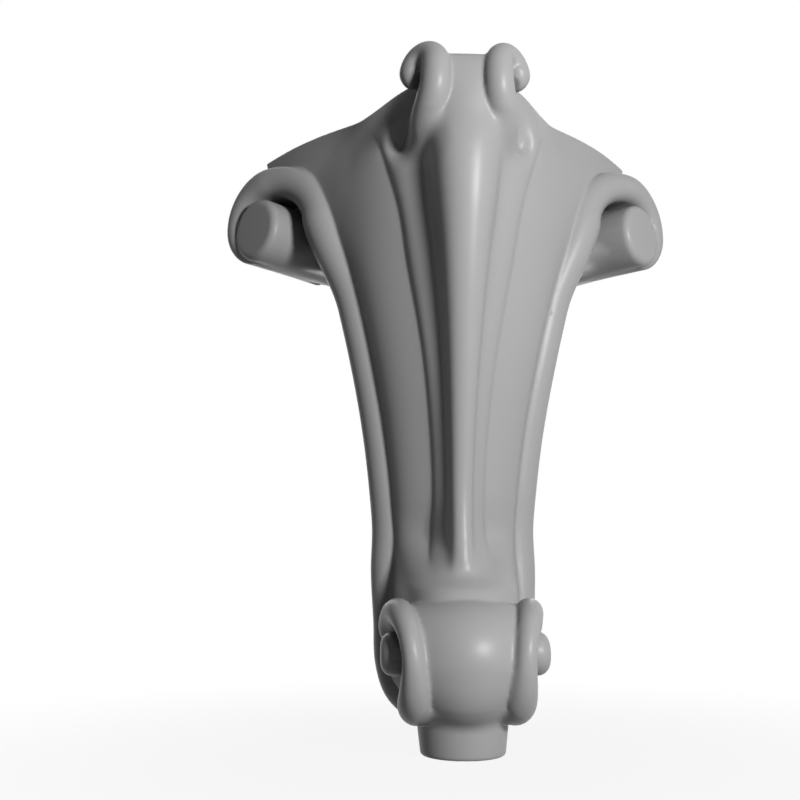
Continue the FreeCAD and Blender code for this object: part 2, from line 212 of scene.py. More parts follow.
# Loop of the curl: first and last turn, how far it closes under its middle, how the bar thins over its top
# and towards its end, and the round cap
CURL_FIRST, CURL_LAST, CURL_STEP = 180.0, -45.0, 15.0
CURL_CLOSING = 0.15
CURL_THIN_TOP, CURL_THIN_END = 0.9, 0.3
CAP_RINGS, CAP_BLUNT = 6, 0.02
CURL_POINTS, CURL_SIDES = 70, 32

# Front of the plate between the curls. Columns: rise above its foot, depth.
PLATE_FRONT = np.array([
    (0.0, -46.5), (6.0, -48.2), (12.0, -49.1), (20.0, -49.8),
    (28.0, -50.4), (33.0, -50.4), (36.0, -49.4), (37.0, -47.5),
])

# Back of the plate, its bend across, and the share of the bend that is lost from a height to its top
PLATE_BACK = -36.0
PLATE_BEND = 0.025
PLATE_FLAT, PLATE_FLAT_START = 0.9, 10.0
PLATE_STEPS, PLATE_COLUMNS = 40, 24

# Skin of the whole leg: share and rounds of the sanding; the core of a blend and its edge as shares of its
# reach, and its step
SANDING, SANDING_ROUNDS = 0.5, 4
BLEND_CORE, BLEND_MARGIN, BLEND_STEP = 0.55, 1.2, 0.6
MOST_TRIANGLES = 190000

# Wood, floor and the even light of the room. The floor is white from the far distance on.
WOOD_ROUGHNESS, WOOD_SHEEN = 0.38, 0.18
FLOOR_REACH = 3.0
FLOOR_GREY = 0.2
PAPER_NEAR, PAPER_FAR, PAPER_SHARE = 0.05, 0.35, 0.9
WORLD_LIGHT = 0.01

# Lamps. Columns: name, place and target in metres, size in metres, power in watts.
LAMPS = [
    ("key_lamp", (0.24, -0.48, 0.22), (0.0, 0.0, 0.13), 0.1, 4.2),
    ("fill_lamp", (0.0, 0.7, 0.45), (0.0, 0.0, 0.15), 0.6, 2.0),
]

# Camera: lens and sensor in millimetres, place in metres, turn and rise in degrees
LENS, SENSOR, NEAREST = 43.46, 36.0, 0.01
CAMERA_PLACE = (-0.04468, -0.42178, 0.0697)
CAMERA_TURN, CAMERA_RISE = 2.5, 10.8


def smooth_through(at, knots, values):
    """Cubic Hermite curve through the knots; the slope at a knot is the mean of the two chords beside it."""
    rise = np.diff(values, axis=0) / np.diff(knots)[:, None]
    slope = np.vstack([rise[:1], 0.5 * (rise[:-1] + rise[1:]), rise[-1:]])
    i = np.clip(np.searchsorted(knots, at, side="right") - 1, 0, len(knots) - 2)
    width = (knots[i + 1] - knots[i])[:, None]
    t = ((at - knots[i]) / (knots[i + 1] - knots[i]))[:, None]
    a = values[i] * (1 + 2 * t) * (1 - t) ** 2 + slope[i] * width * t * (1 - t) ** 2
    return a + values[i + 1] * t * t * (3 - 2 * t) + slope[i + 1] * width * t * t * (t - 1)


def stations_at(height):
    """Rows of the station table at any heights, by smooth curves through its columns."""
    return smooth_through(height, STATIONS[:, HEIGHT], STATIONS)


def ease(value, start, stop):
    """0 before the start, 1 after the stop and a smooth step between them: 3 t squared less 2 t cubed."""
    t = np.clip((value - start) / (stop - start), 0.0, 1.0)
    return t * t * (3.0 - 2.0 * t)


def wing(along, proud, height):
    """Point of the right side from its place along the wing, proud of it and above the floor: X is the sum of
    the first two over the root of two, and Y their difference."""
    along, proud, height = np.broadcast_arrays(along, proud, height)
    return np.stack([(along + proud) / ROOT_TWO, (along - proud) / ROOT_TWO, height], axis=-1).astype(float)


def on_wing(points):
    """Places along the wing and proud of it of points in the plan, the reverse of wing."""
    return (points[..., 0] + points[..., 1]) / ROOT_TWO, (points[..., 0] - points[..., 1]) / ROOT_TWO


def about_eye(p, turn, radius):
    """Place along the wing and height at a turn and a radius about the volute's eye: a point of a circle."""
    angle = np.radians(turn)
    return np.stack([p.eye_along + radius * np.cos(angle), p.eye_height + radius * np.sin(angle)], axis=-1)


def heading(lean):
    """Unit vector in the plan: the cosine and the sine of a lean from the X axis."""
    lean = np.radians(lean)
    return np.stack([np.cos(lean), np.sin(lean)], axis=-1)


def lean_gain(lean):
    """How fast a straight line with a lean in the plan comes proud as it runs along the wing: cosine less
    sine, over their sum."""
    lean = np.radians(lean)[:, None]
    return (np.cos(lean) - np.sin(lean)) / (np.cos(lean) + np.sin(lean))


def cubic(start, lean_start, end, lean_end, pull):
    """Four control points of a plane cubic with given end leans; the arms are a share of the chord."""
    reach = (np.linalg.norm(end - start, axis=-1) * pull)[:, None]
    leaving = start + heading(lean_start) * reach
    arriving = end - heading(lean_end) * reach
    return np.stack([start, leaving, arriving, end], axis=1)


def on_cubic(poles, t):
    """Bernstein sum of four control points (rows, 4, 2) at the parameters t, giving (rows, len(t), 2)."""
    weights = np.stack([(1 - t) ** 3, 3 * t * (1 - t) ** 2, 3 * t * t * (1 - t), t ** 3], axis=0)
    return np.einsum("rpc,pt->rtc", poles, weights)


def carved_front(p, stations):
    """Right half of the carved front, one row for each station: rib, groove wall and flank as three cubics,
    blended by the share of carving towards one plain cubic from the crest to the edge."""
    _, crest, rib, leaf, flank, end, lean, carving = stations.T
    zero = np.zeros_like(crest)
    wall = zero + p.groove_wall
    top = np.stack([zero, crest], axis=-1)
    valley = np.stack([rib, crest + p.rib_rise * rib], axis=-1)
    groove = np.stack([leaf, leaf - ROOT_TWO * flank], axis=-1)
    edge = wing(end, flank, 0.0)[:, :2]
    t = np.linspace(0.0, 1.0, FRONT_STEPS)
    deep = np.concatenate([
        on_cubic(cubic(top, zero, valley, wall, RIB_PULL), t)[:, :-1],
        on_cubic(cubic(valley, wall, groove, wall, WALL_PULL), t)[:, :-1],
        on_cubic(cubic(groove, zero + p.flank_start, edge, lean, WALL_PULL), t),
    ], axis=1)
    plain = on_cubic(cubic(top, zero, edge, lean, PLAIN_PULL), np.linspace(0.0, 1.0, 4 * FRONT_STEPS))
    depth = np.stack([np.interp(row[:, 0], base[:, 0], base[:, 1]) for row, base in zip(deep, plain)])
    deep[..., 1] = depth + (deep[..., 1] - depth) * carving[:, None]
    return deep


def hollows(p, points):
    """Depth of the two round gouges beside the stems: a bell curve in width and height, short below and long
    above, so that the top of each leaf ends in a round lip."""
    x, z = points[..., 0], points[..., 2]
    reach = np.where(z < p.hollow_height, GOUGE_BELOW, GOUGE_ABOVE)
    across = ((np.abs(x) - p.hollow_out) / GOUGE_HALF) ** 2
    return p.hollow_depth * np.exp(-across - ((z - p.hollow_height) / reach) ** 2)


def grid_shell(rows):
    """Closed surface from rings of points (rings, points, 3): quads between rings and a fan on both ends."""
    rings, count, _ = rows.shape
    i, j = np.meshgrid(np.arange(rings - 1), np.arange(count), indexing="ij")
    k = (j + 1) % count
    quads = np.stack([i * count + j, i * count + k, (i + 1) * count + k, (i + 1) * count + j], axis=-1)
    points = np.concatenate([rows.reshape(-1, 3), rows[0].mean(0)[None], rows[-1].mean(0)[None]])
    low, high = rings * count, rings * count + 1
    j = np.arange(count)
    k = (j + 1) % count
    start = np.stack([k, j, np.full(count, low)], axis=-1)
    last = (rings - 1) * count
    stop = np.stack([last + j, last + k, np.full(count, high)], axis=-1)
    return points, [quads.reshape(-1, 4), start, stop]


def flip(shell):
    """Mirror image of a closed surface in the plane X = 0, with its faces turned back outwards."""
    points, faces = shell
    return points * MIRROR, [f[:, ::-1] for f in faces]


def post_shell(p):
    """Post: for each height the carved front, the straight side along the edge's lean, and the flat back."""
    z = np.linspace(STATIONS[0, HEIGHT], STATIONS[-1, HEIGHT], POST_ROWS)
    stations = stations_at(z)
    front = carved_front(p, stations)
    along, proud = on_wing(front)
    limit = np.interp(z, HEEL[:, 1], HEEL[:, 0])[:, None]
    along = np.minimum(along, limit)
    side = np.maximum(along[:, -1:], limit)
    side_proud = proud[:, -1:] + (side - along[:, -1:]) * lean_gain(stations[:, LEAN])
    back_proud = np.minimum(np.maximum(side - ROOT_TWO * p.back_plane, -side), side_proud)
    share = np.linspace(0.0, 1.0, POST_STEPS)[None, 1:]
    run = along[:, -1:] + (side - along[:, -1:]) * share
    run_proud = proud[:, -1:] + (side_proud - proud[:, -1:]) * share
    home_proud = side_proud + (back_proud - side_proud) * share
    along = np.concatenate([along, run, np.repeat(side, share.shape[1], axis=1)], axis=1)
    proud = np.concatenate([proud, run_proud, home_proud], axis=1)
    right = wing(along, proud, z[:, None])
    right[..., 0] = np.maximum(right[..., 0], 0.0)
    carved = np.arange(right.shape[1]) < front.shape[1]
    right[..., 1] += np.where(carved, hollows(p, right), 0.0)
    return grid_shell(np.concatenate([right, right[:, -1:0:-1] * MIRROR], axis=1))


def wing_reach(p, z):
    """End of the wing along itself: it follows the middle of the coil up to its top, then runs to the tip."""
    turn = np.arange(COIL_START, REACH_STOP, -REACH_STEP)
    tip = [(p.wing_tip - TIP_DRAWN, p.top_height - TIP_HEIGHT), (p.wing_tip, p.top_height)]
    along, height = np.concatenate([about_eye(p, turn, coil_radius(p, turn)), tip]).T
    return np.interp(z, height, along)


def wing_shell(p):
    """Right half of the head: for each height the carved front, its straight run to the end of the wing, the
    end face, and the back of the wing to the middle plane. A half sine swells its face towards the top."""
    z = np.linspace(p.eye_height - HEAD_DROP, p.top_height, HEAD_ROWS)
    stations = stations_at(z)
    front = carved_front(p, stations)
    along, proud = on_wing(front)
    tip = np.maximum(wing_reach(p, z), along[:, -1] - HEAD_OVERLAP)[:, None]
    along = np.minimum(along, tip)
    back = p.wing_plane - p.wing_depth
    share = np.linspace(0.0, 1.0, HEAD_STEPS)[None, 1:]
    run = along[:, -1:] + (tip - along[:, -1:]) * share
    run_proud = proud[:, -1:] + (run - along[:, -1:]) * lean_gain(stations[:, LEAN])
    end_proud = run_proud[:, -1:] + (back - run_proud[:, -1:]) * share
    home = tip + (-back - tip) * share
    along = np.concatenate([along, run, np.repeat(run[:, -1:], share.shape[1], axis=1), home], axis=1)
    proud = np.concatenate([proud, run_proud, end_proud, np.full_like(home, back)], axis=1)
    span = np.clip((along - SWELL_ALONG) / (p.wing_tip - SWELL_ALONG), 0.0, 1.0)
    swell = p.wing_bulge * np.sin(math.pi * span) * ease(z, SWELL_HEIGHT, p.top_height)[:, None]
    column = np.arange(along.shape[1])
    ring = wing(along, proud + np.where(column < front.shape[1] + run.shape[1], swell, 0.0), z[:, None])
    sunk = SUNK_DEPTH * np.exp(-((ring[..., 2] - z[0]) / SUNK_HEIGHT) ** 2)
    ring[..., 1] += np.where(column < front.shape[1], hollows(p, ring) + sunk, 0.0)
    return grid_shell(ring)


def coil_radius(p, turn):
    """Radius of the coil about the eye, growing evenly from its end under the eye to the leg."""
    return p.coil_inner + (p.coil_outer - p.coil_inner) * (turn - COIL_STOP) / (COIL_START - COIL_STOP)


def bead_radius(p, turn):
    """Radius of the coil's bead: it thins by a power of the turn from the leg to the wing's tip, and evenly
    from there to its end."""
    share = np.clip(turn / COIL_START, 0.0, 1.0)
    full = p.edge_radius + BEAD_SWELL
    return p.coil_band + (full - p.coil_band) * share ** BEAD_THINNING + BEAD_TAPER * np.minimum(turn, 0.0)


def coil_proud(p, turn):
    """Plane of the coil's bead: a little behind the wing's face, with one even rise up to the eye and a
    smaller one beyond it."""
    along = about_eye(p, turn, coil_radius(p, turn))[:, 0]
    lift = np.minimum(along, p.eye_along) - COIL_RISE_START
    beyond = np.maximum(0.0, along - p.eye_along)
    return p.wing_plane - COIL_BEHIND + COIL_RISE * lift + COIL_RISE_OUTER * beyond


def resample(points, extra, count):
    """The same smooth curve with evenly spread points; extra values ride along."""
    steps = np.linalg.norm(np.diff(points, axis=0), axis=1)
    reach = np.concatenate([[0.0], np.cumsum(steps)])
    at = np.linspace(0.0, reach[-1], count)
    values = smooth_through(at, reach, np.hstack([points, extra]))
    return values[:, :3], values[:, 3:]


def frames(points, proud):
    """Two directions square to a curve at each point: the proud side less its share along the curve's
    heading, and the cross product of the heading with it."""
    course = np.gradient(points, axis=0)
    course /= np.linalg.norm(course, axis=1)[:, None]
    out = proud - course * (course @ proud)[:, None]
    out /= np.linalg.norm(out, axis=1)[:, None]
    return out, np.cross(course, out)


def sweep(points, radius, tail, sides):
    """Round bar along a curve; its side away from the wing's face is pulled back by the tail, as a wall."""
    out, side = frames(points, np.array([1.0, -1.0, 0.0]) / ROOT_TWO)
    angle = np.linspace(0.0, 2.0 * math.pi, sides, endpoint=False)
    cos, sin = np.cos(angle), np.sin(angle)
    reach = radius[:, None] * cos - np.where(cos < -TINY, tail[:, None], 0.0)
    rows = points[:, None] + out[:, None] * reach[..., None]
    rows = rows + side[:, None] * (radius[:, None] * sin)[..., None]
    return grid_shell(rows)


def edge_bead(p):
    """Rounded edge of the leg that runs up, turns over the wing as a coil and ends under the eye."""
    stations = stations_at(EDGE_HEIGHTS)
    edge = wing(stations[:, END], stations[:, FLANK], EDGE_HEIGHTS) + EDGE_BEHIND * p.edge_radius
    along, proud, height, girth = EDGE_FOOT.T
    turn = np.arange(COIL_START, COIL_STOP - 1.0, -COIL_STEP)
    over = coil_proud(p, turn)
    coil_along, coil_height = about_eye(p, turn, coil_radius(p, turn)).T
    points = np.concatenate([wing(along, proud, height), edge, wing(coil_along, over, coil_height)])
    radius = np.concatenate([girth, np.full(len(edge), p.edge_radius), bead_radius(p, turn)])
    wall = (over + COIL_WALL) * np.clip((WALL_START - turn) / WALL_RUN, 0.0, 1.0)
    tail = np.concatenate([np.zeros(len(points) - len(turn)), wall])
    points, extra = resample(points, np.stack([radius, tail], axis=1), EDGE_POINTS)
    return sweep(points, extra[:, 0], extra[:, 1], EDGE_SIDES)


def bolster_shell(p):
    """Body of the volute behind its hollow: the coil's outline closed to the leg, as a straight bar."""
    turn = np.arange(BOLSTER_START, VOLUTE_STOP - 1.0, -VOLUTE_STEP)
    radius = coil_radius(p, turn) + BOLSTER_SHARE * bead_radius(p, turn)
    skin = p.eye_radius + SKIN + np.maximum(turn - VOLUTE_STOP, 0.0) * SKIN_RISE
    radius = np.where(turn < SKIN_TURN, np.minimum(radius, skin), radius)
    along, height = np.concatenate([about_eye(p, turn, radius), UNDERSIDE, HOME_SIDE]).T
    share = np.linspace(0.0, 1.0, BOLSTER_ROWS)[:, None]
    low = p.wing_plane - p.wing_depth
    high = p.pocket_floor - FLOOR_FALL * np.maximum(FLOOR_EDGE - along, 0.0)
    return grid_shell(wing(along, low + (high - low) * share, height))


def underside_shell(p):
    """Underside of the volute: the coil's outer wall, the eye and the run to the leg as one soft surface,
    which starts wide at the back of the wing and closes on the edge of the eye by a smooth step."""
    turn = np.arange(UNDER_START, VOLUTE_STOP - 1.0, -VOLUTE_STEP)
    radius = coil_radius(p, turn) + UNDER_SHARE * bead_radius(p, turn)
    radius = np.maximum(radius, p.eye_radius + UNDER_SKIN)
    wide = np.concatenate([about_eye(p, turn, radius), UNDERSIDE])
    tight = about_eye(p, np.linspace(UNDER_START, UNDER_AROUND, len(wide)), p.eye_radius - UNDER_TIGHT)
    heart = np.array([p.eye_along, p.eye_height]) + UNDER_HEART
    place = np.arange(len(wide))
    leaves = np.where(place < len(turn), UNDER_LEAVES_COIL, UNDER_LEAVES_RUN)
    inward = np.clip((place - len(turn)) / (len(UNDERSIDE) - 1.0), 0.0, 1.0)
    end = p.eye_proud - UNDER_END
    closes = end + (p.pocket_floor - end) * inward
    proud = np.linspace(p.wing_plane - p.wing_depth, end, UNDER_ROWS)[:, None]
    outline = wide + (tight - wide) * ease(proud, leaves, closes)[..., None]
    outline = np.concatenate([outline, np.repeat(heart[None], UNDER_ROWS, axis=0)], axis=1)
    return grid_shell(wing(outline[..., 0], proud, outline[..., 1]))


def turned(profile, start, axis, sides):
    """Surface of revolution: profile pairs (distance along the axis, radius) turned about the axis."""
    axis = np.array(axis, float) / np.linalg.norm(axis)
    helper = np.array([0.0, 0.0, 1.0]) if abs(axis[2]) < UPRIGHT else np.array([0.0, 1.0, 0.0])
    u = np.cross(helper, axis)
    u /= np.linalg.norm(u)
    v = np.cross(axis, u)
    angle = np.linspace(0.0, 2.0 * math.pi, sides, endpoint=False)
    ring = u[None] * np.cos(angle)[:, None] + v[None] * np.sin(angle)[:, None]
    rows = np.array(start, float) + axis * profile[:, :1, None] + ring[None] * profile[:, 1:, None]
    return grid_shell(rows)


def boss_profile(length, radius, rounding):
    """Side of a drum with its end rounded as a quarter circle: pairs of place along the axis and radius."""
    angle = np.linspace(0.0, 0.5 * math.pi, ROUNDING_STEPS)
    along = length - rounding + rounding * np.sin(angle)
    out = radius - rounding + rounding * np.cos(angle)
    return np.concatenate([[(0.0, radius)], np.stack([along, out], axis=1)])


def volute_eye(p):
    """Eye of the volute: a rounded drum square to the wing, from its back out of the hollow."""
    start = p.wing_plane - p.wing_depth + EYE_START
    profile = boss_profile(p.eye_proud - start, p.eye_radius, p.eye_round)
    return turned(profile, wing(p.eye_along, start, p.eye_height), (1.0, -1.0, 0.0), EYE_SIDES)


def side_of_roll(p, depth):
    """Half width of the foot scroll, growing by the tangent of the splay for each step back."""
    return p.roll_half + math.tan(math.radians(p.roll_splay)) * (depth - p.roll_depth)


def foot_roll(p):
    """Drum across the foot whose two ends are splayed towards the back. Its front is crowned between the
    beads by a parabola, its underside is fuller by a smooth step and drawn in evenly."""
    angle = np.linspace(0.0, 2.0 * math.pi, ROLL_SIDES, endpoint=False)
    radius = p.roll_radius + p.roll_drop * ease(-np.sin(angle), DROP_START, 1.0)
    y = p.roll_depth - radius * np.cos(angle)
    z = p.roll_height + radius * np.sin(angle)
    waist = 1.0 - WAIST_SHARE * np.clip(WAIST_START - z, 0.0, WAIST_HEIGHT)
    share = np.linspace(-1.0, 1.0, ROLL_ROWS)[:, None]
    swell = 1.0 + p.roll_crown * (1.0 - CROWN_FALL * share ** 2) / p.roll_radius
    across = share * side_of_roll(p, y) * waist
    depth = p.roll_depth + (y - p.roll_depth) * swell
    height = p.roll_height + (z - p.roll_height) * swell
    return grid_shell(np.stack([across, depth, height], axis=-1))


def foot_ring(p):
    """Bead over the front of the foot scroll, from behind its top to behind its underside, growing downwards:
    a circle about the scroll's axis, moved out by the table and fuller below by a smooth step."""
    turn = np.arange(FOOT_RING[-1, 0], FOOT_RING[0, 0] - 1.0, -RING_STEP)
    angle = np.radians(turn)
    out, radius = smooth_through(turn, FOOT_RING[:, 0], FOOT_RING[:, 1:]).T
    ring = p.roll_radius + RING_PROUD - radius + p.roll_drop * ease(-turn, *RING_DROP)
    depth = p.roll_depth - ring * np.cos(angle)
    height = p.roll_height + ring * np.sin(angle)
    points = np.stack([out - radius, depth, height], axis=1)
    points, extra = resample(points, radius[:, None], RING_POINTS)
    return sweep(points, extra[:, 0], np.zeros(len(points)), RING_SIDES)


def foot_eye(p):
    """Eye of the foot scroll: a rounded drum across, from inside the scroll to beyond its side."""
    start = (p.roll_half - p.foot_eye_radius, p.roll_depth - FOOT_EYE_BEFORE, p.roll_height + FOOT_EYE_ABOVE)
    profile = boss_profile(p.foot_eye_radius + p.foot_eye_out, p.foot_eye_radius, p.foot_eye_round)
    return turned(profile, start, (1.0, 0.0, 0.0), FOOT_EYE_SIDES)


def foot_pad(p):
    """Round pad on the floor: a turned profile with a rounded foot and a flare into the scroll."""
    foot = PAD_ROUNDING + np.array([0.0, p.pad_radius])
    flare = PAD_FLARE + np.array([p.pad_height, p.pad_top])
    return turned(np.concatenate([foot, flare]), (0.0, 0.0, 0.0), (0.0, 0.0, 1.0), PAD_SIDES)


def curl(p):
    """Stem that rises out of the rib beside the plate and curls outwards and down: a curve through the stem's
    places and a circle that closes a little, with a round cap at its end."""
    radius, turn = p.curl_radius, p.curl_turn
    top = p.curl_top - radius - turn
    angle = np.radians(np.arange(CURL_FIRST, CURL_LAST - 1.0, -CURL_STEP))
    closing = np.where(angle < 0.0, 1.0 + CURL_CLOSING * angle, 1.0)
    across = CURL_START + turn + turn * np.cos(angle) * closing
    loop = wing(across, p.curl_proud, top + turn * np.sin(angle))
    points = np.concatenate([wing(CURL_START, p.curl_proud, top) + CURL_STEM[:, :3], loop])
    thin = np.where(angle > 0.0, CURL_THIN_TOP, CURL_THIN_END) * np.abs(np.sin(angle))
    girth = np.concatenate([radius + CURL_STEM[:, 3], radius - thin])
    points, extra = resample(points, girth[:, None], CURL_POINTS)
    extra[-CAP_RINGS:, 0] *= np.sqrt(1.0 - (np.arange(CAP_RINGS) / CAP_RINGS - CAP_BLUNT) ** 2)
    return sweep(points, extra[:, 0], np.zeros(len(points)), CURL_SIDES)


def plate(p):
    """Small plate between the curls: the front profile of depth against height, bent across by a parabola
    like the crest that it continues."""
    tall = PLATE_FRONT[-1, 0]
    foot = p.plate_top - tall
    rise = np.linspace(0.0, tall, PLATE_STEPS)
    front = smooth_through(rise, PLATE_FRONT[:, 0], PLATE_FRONT[:, 1:])[:, 0]
    outline = np.concatenate([
        np.stack([front, foot + rise], axis=1),
        [(PLATE_BACK, p.plate_top), (PLATE_BACK, foot)],
    ])
    x = np.linspace(-p.plate_half, p.plate_half, PLATE_COLUMNS)[:, None]
    rows = np.repeat(np.column_stack([np.zeros(len(outline)), outline])[None], len(x), axis=0)
    rows[..., 0] = x
    bend = 1.0 - PLATE_FLAT * ease(rise, PLATE_FLAT_START, tall)
    rows[:, :len(front), 1] += PLATE_BEND * x ** 2 * bend
    return grid_shell(rows)


def mesh_of(name, shells):
    """One mesh from several closed surfaces, in metres."""
    points, loops, starts, offset = [], [], [], 0
    for verts, faces in shells:
        for f in faces:
            loops.append((f + offset).ravel())
            starts.append(np.full(len(f), f.shape[1]))
        points.append(verts)
        offset += len(verts)
    verts = np.concatenate(points) * MM
    corners = np.concatenate(loops)
    totals = np.concatenate(starts)
    mesh = bpy.data.meshes.new(name)
    mesh.vertices.add(len(verts))
    mesh.vertices.foreach_set("co", verts.ravel())
    mesh.loops.add(len(corners))
    mesh.loops.foreach_set("vertex_index", corners.astype(np.int32))
    mesh.polygons.add(len(totals))
    mesh.polygons.foreach_set("loop_start", (np.cumsum(totals) - totals).astype(np.int32))
    mesh.update(calc_edges=True)
    mesh.validate()
    return mesh


def soften(mesh, centre, reach, rounds):
    """Blends the skin about a centre: each point there moves towards the mean of its neighbours, most at the
    centre and not at all at the reach, over and over."""
    count = len(mesh.vertices)
    points = np.empty(count * 3)
    mesh.vertices.foreach_get("co", points)
    points = points.reshape(-1, 3)
    edges = np.empty(len(mesh.edges) * 2, dtype=np.int32)
    mesh.edges.foreach_get("vertices", edges)
    edges = edges.reshape(-1, 2)
    away = np.linalg.norm((points / MM - np.array(centre)) / np.array(reach), axis=1)
    near = np.flatnonzero(away < BLEND_MARGIN)
    place = np.full(count, -1)
    place[near] = np.arange(len(near))
    pairs = place[edges]
    pairs = pairs[(pairs >= 0).all(axis=1)]
    here, there = np.concatenate([pairs, pairs[:, ::-1]]).T
    degree = np.maximum(np.bincount(here, minlength=len(near)), 1)[:, None]
    share = (1.0 - ease(away[near], BLEND_CORE, 1.0))[:, None]
    local = points[near]
    for _ in range(rounds):
        total = [np.bincount(here, local[there, axis], len(near)) for axis in range(3)]
        local = local + share * BLEND_STEP * (np.stack(total, axis=1) / degree - local)
    points[near] = local
    mesh.vertices.foreach_set("co", points.ravel())
    mesh.update()


def keep_largest(mesh):
    """Deletes the small closed pockets that the remesh leaves between the surfaces."""
    work = bmesh.new()
    work.from_mesh(mesh)
    free = set(work.verts)
    islands = []
    while free:
        island, edge = set(), {free.pop()}
        while edge:
            island |= edge
            edge = {link.other_vert(vert) for vert in edge for link in vert.link_edges} - island
        free -= island
        islands.append(island)
    largest = max(islands, key=len)
    bmesh.ops.delete(work, geom=[vert for vert in work.verts if vert not in largest], context="VERTS")
    work.to_mesh(mesh)
    work.free()


def settle(obj):
    """Applies the object's modifiers to its mesh."""
    graph = bpy.context.evaluated_depsgraph_get()
    graph.update()
    mesh = bpy.data.meshes.new_from_object(obj.evaluated_get(graph))
    old = obj.data
    obj.modifiers.clear()
    obj.data = mesh
    bpy.data.meshes.remove(old)


def united(name, shells, voxel, blends):
    """The closed surfaces as one skin: voxel remesh, a light smoothing, soft blends where the carver rounded
    the joint over, on both sides, then thinned to at most a set count of triangles."""
    obj = bpy.data.objects.new(name, mesh_of(name, shells))
    bpy.context.scene.collection.objects.link(obj)
    remesh = obj.modifiers.new("Union", "REMESH")
    remesh.mode = "VOXEL"
    remesh.voxel_size = voxel
    smooth = obj.modifiers.new("Sanding", "SMOOTH")
    smooth.factor = SANDING
    smooth.iterations = SANDING_ROUNDS
    settle(obj)
    for (x, y, z), reach, rounds in blends:
        for side in (-1.0, 1.0):
            soften(obj.data, (side * x, y, z), reach, rounds)
    keep_largest(obj.data)
    triangles = 2 * len(obj.data.polygons)
    if triangles > MOST_TRIANGLES:
        thin = obj.modifiers.new("Thinning", "DECIMATE")
        thin.ratio = MOST_TRIANGLES / triangles
        settle(obj)
    obj.data.polygons.foreach_set("use_smooth", np.ones(len(obj.data.polygons), dtype=bool))
    return obj


# Soft blends of the skin, which are repeated on the other side. Columns: centre, reach each way, rounds.
BLENDS = [
    ((15.0, -38.0, 257.0), (13.0, 15.0, 15.0), 90),
    ((25.0, -25.0, 260.0), (11.0, 16.0, 14.0), 40),
    ((0.0, -49.0, 262.0), (10.0, 9.0, 11.0), 20),
    (wing(84.0, 16.0, 220.0), (30.0, 30.0, 15.0), 90),
    ((0.0, -16.0, 17.0), (26.0, 16.0, 7.0), 45),
    ((10.0, -8.0, 79.0), (13.0, 12.0, 9.0), 25),
    ((28.0, -30.0, 258.0), (10.0, 12.0, 11.0), 90),
    ((19.5, -31.0, 38.0), (6.0, 9.0, 26.0), 14),
]


def panel_length(name, millimetres, description):
    """A length of the leg in the panel, with its default in millimetres."""
    default = millimetres * MM
    return bpy.props.FloatProperty(name=name, description=description, default=default, unit="LENGTH")


def panel_angle(name, degrees, description):
    """An angle of the leg in the panel, with its default in degrees."""
    default = math.radians(degrees)
    return bpy.props.FloatProperty(name=name, description=description, default=default, subtype="ANGLE")


